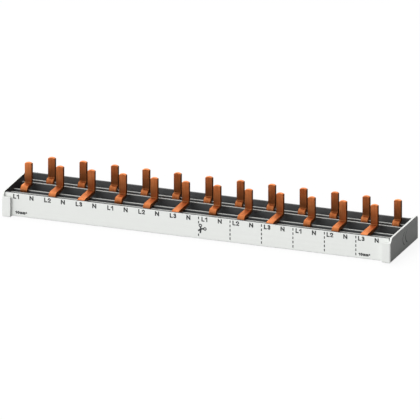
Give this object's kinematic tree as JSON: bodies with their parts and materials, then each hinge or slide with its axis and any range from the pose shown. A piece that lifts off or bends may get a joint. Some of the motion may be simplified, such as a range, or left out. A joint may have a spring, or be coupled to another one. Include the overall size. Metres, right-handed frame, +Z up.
{
  "type": "comb busbar",
  "caption": "Pin-type comb busbar: bent copper combs for three phases and neutral in an open insulating profile with end caps, feeding a row of modular breakers.",
  "frame": {"origin": "centre of the underside, halfway along the busbar and between the faces of the caps", "axes": "+X along the busbar from the first phase pin to the last neutral pin, -Y out of the printed front face, +Z up along the pins"},
  "size_m": [0.2226, 0.0434, 0.0244],
  "materials": {
    "profile_plastic": "extruded light grey plastic, satin",
    "copper": "bare rolled copper strip, sheared edges, slightly darkened",
    "cap_plastic": "injection moulded light grey plastic, fine grain"
  },
  "bodies": {
    "root": {"insulating_profile": "profile_plastic", "comb_l1": "copper", "comb_l2": "copper", "comb_l3": "copper", "comb_n": "copper", "left_end_cap": "cap_plastic", "right_end_cap": "cap_plastic"}
  },
  "joints": []
}
